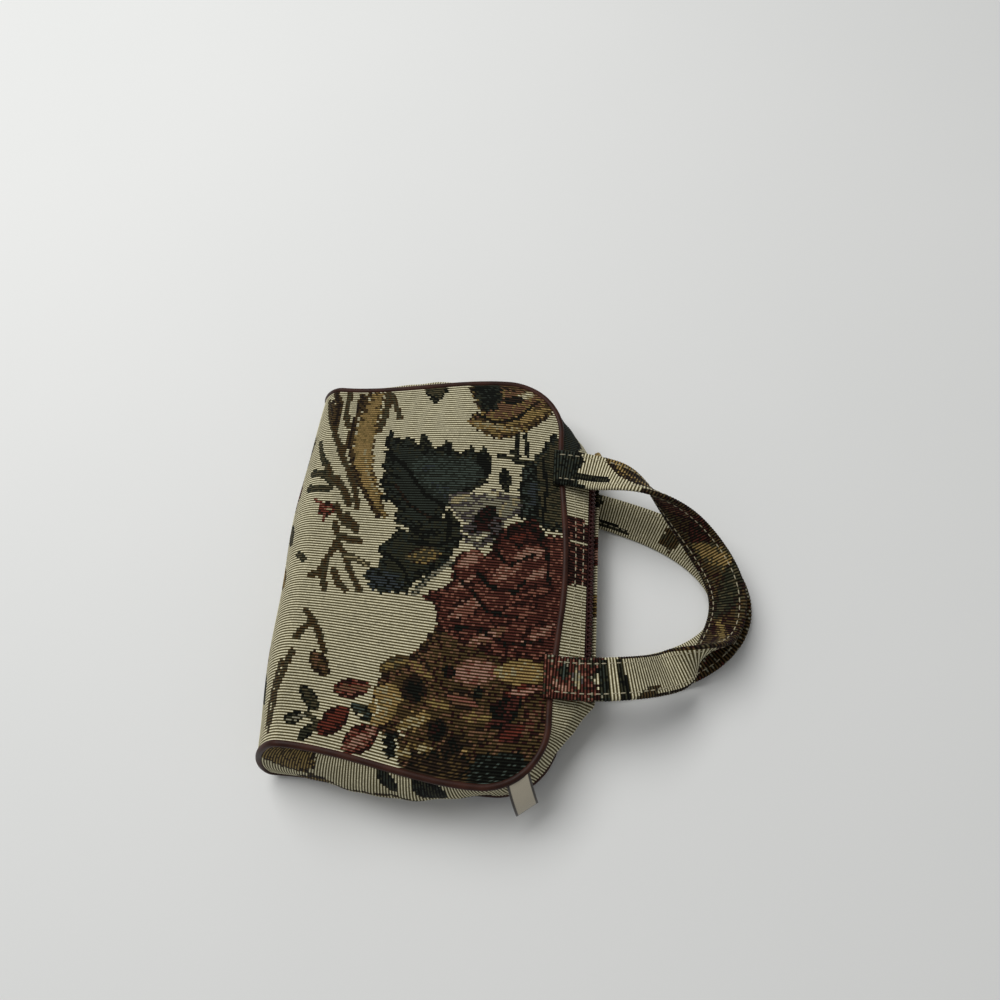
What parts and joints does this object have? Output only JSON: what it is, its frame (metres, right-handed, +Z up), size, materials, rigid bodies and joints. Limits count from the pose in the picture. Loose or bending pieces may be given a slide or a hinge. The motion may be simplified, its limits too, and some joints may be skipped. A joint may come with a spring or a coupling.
{
  "type": "toiletry bag",
  "caption": "Soft tapestry toiletry bag lying on its back, with piped seams, a zip along the top gusset and short strap handles.",
  "frame": {"origin": "middle of the back panel, on the surface that the bag lies on", "axes": "+X from the base of the bag to its zip, +Y across the width to the closed end of the zip, +Z up from the back panel to the front panel"},
  "size_m": [0.2449, 0.2286, 0.0518],
  "materials": {
    "tapestry": "ribbed woven tapestry",
    "strap_tapestry": "ribbed woven tapestry, folded and topstitched",
    "lining_cloth": "thin matte lining",
    "piping_vinyl": "smooth soft vinyl, low sheen",
    "zip_tape": "fine woven tape",
    "zip_teeth": "satin nylon",
    "zip_metal": "antique brass plate",
    "label_ribbon": "woven ribbon with dark edges"
  },
  "bodies": {
    "bag": {"body_panel": "tapestry", "gusset": "tapestry", "lining": "lining_cloth", "piping": "piping_vinyl", "zip_tape_front": "zip_tape", "zip_tape_back": "zip_tape", "zip_teeth_front": "zip_teeth", "zip_teeth_back": "zip_teeth", "zip_top_stops": "zip_metal", "zip_bottom_stop": "zip_metal", "handle_front": "strap_tapestry", "handle_back": "strap_tapestry", "side_label": "label_ribbon"},
    "slider": {"zip_slider": "zip_metal"},
    "pull": {"zip_pull": "zip_metal"}
  },
  "joints": [
    {"name": "zip_slide", "type": "slide", "parent": "bag", "child": "slider", "axis": [0, -1, 0], "range_m": [0, 0.1099], "deforming": ["zip_teeth_front", "zip_teeth_back"]},
    {"name": "pull_swing", "type": "hinge", "parent": "slider", "child": "pull", "pos_m": [0.08418, 0.05446, 0.02424], "axis": [0.5446, 0, -0.8387], "range_deg": [0, 175]}
  ]
}
